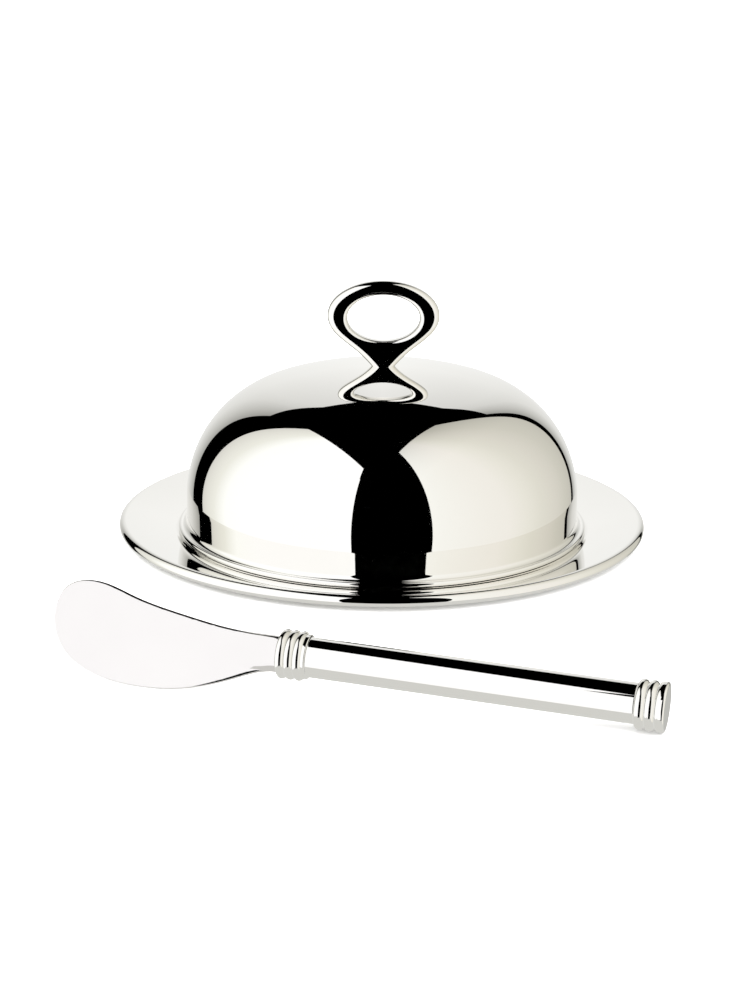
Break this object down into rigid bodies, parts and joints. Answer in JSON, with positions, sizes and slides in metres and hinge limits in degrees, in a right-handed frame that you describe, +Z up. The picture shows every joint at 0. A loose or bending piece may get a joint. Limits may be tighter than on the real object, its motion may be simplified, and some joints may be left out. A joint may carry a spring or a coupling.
{
  "type": "butter dish",
  "caption": "Round polished dish with a lift-off domed lid on an oval ring handle, and a broad-bladed spreader with a tubular ringed handle.",
  "frame": {"origin": "centre of the plate's underside, on the surface that the dish stands on", "axes": "+Z up along the dome's axis; -Y is the front, where the spreader lies; the ring handle faces the front"},
  "size_m": [0.1752, 0.2687, 0.0822],
  "materials": {
    "silver_plate": "silver plate, mirror polished",
    "blade_silver": "silver plate, fine buffed",
    "screw_steel": "zinc plated steel",
    "handle_cement": "set resin cement, matt"
  },
  "bodies": {
    "plate": {"base_plate": "silver_plate"},
    "lid": {"lid_dome": "silver_plate", "handle_ring": "silver_plate", "handle_washer": "screw_steel", "handle_screw": "screw_steel"},
    "spreader": {"knife_blade": "blade_silver", "knife_collar": "silver_plate", "knife_handle_tube": "silver_plate", "knife_end_cap": "silver_plate", "knife_filler": "handle_cement"}
  },
  "joints": [
    {"name": "lid_lift", "type": "slide", "parent": "plate", "child": "lid", "axis": [0, 0, 1], "range_m": [0, 0.12]},
    {"name": "spreader_lift", "type": "slide", "parent": "plate", "child": "spreader", "axis": [0, 0, 1], "range_m": [0, 0.1]}
  ]
}
